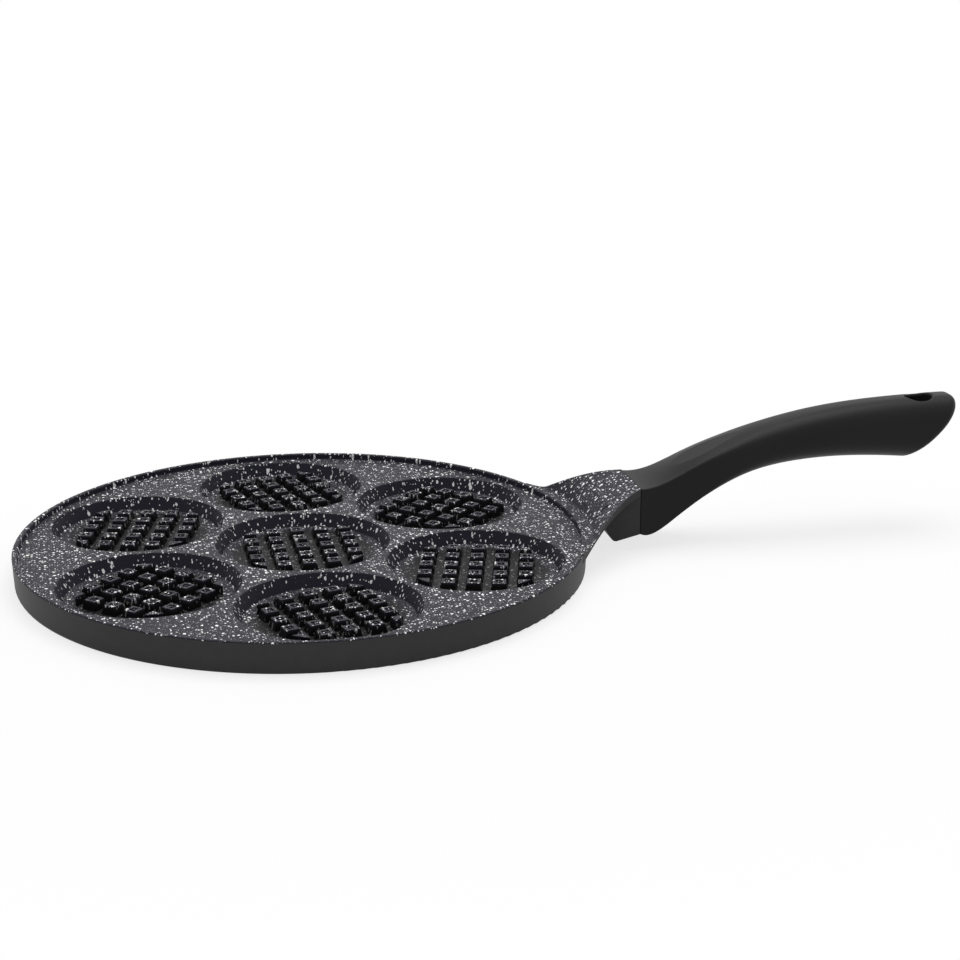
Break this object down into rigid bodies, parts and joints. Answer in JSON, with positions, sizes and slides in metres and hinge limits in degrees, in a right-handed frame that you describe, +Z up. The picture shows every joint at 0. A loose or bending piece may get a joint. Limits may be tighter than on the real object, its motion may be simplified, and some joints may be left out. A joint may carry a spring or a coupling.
{
  "type": "frying pan",
  "caption": "Flat round cast frying pan with small waffle cups and one fixed moulded handle, for baking small waffles or pancakes on a hob.",
  "frame": {"origin": "centre of the pan's flat base, where it rests on the hob", "axes": "+X runs from the pan's centre along the handle, +Z is up, +Y completes a right-handed frame"},
  "size_m": [0.4465, 0.2598, 0.0627],
  "materials": {
    "stone_coating": "satin dark non-stick coating with fine pale specks",
    "handle_moulding": "satin black phenolic moulding",
    "base_steel": "turned stainless steel",
    "screw_steel": "bright zinc plated steel"
  },
  "bodies": {
    "root": {"pan_body": "stone_coating", "base_plate": "base_steel", "handle": "handle_moulding", "handle_screw": "screw_steel", "flat_washer": "screw_steel", "spring_washer": "screw_steel"}
  },
  "joints": []
}
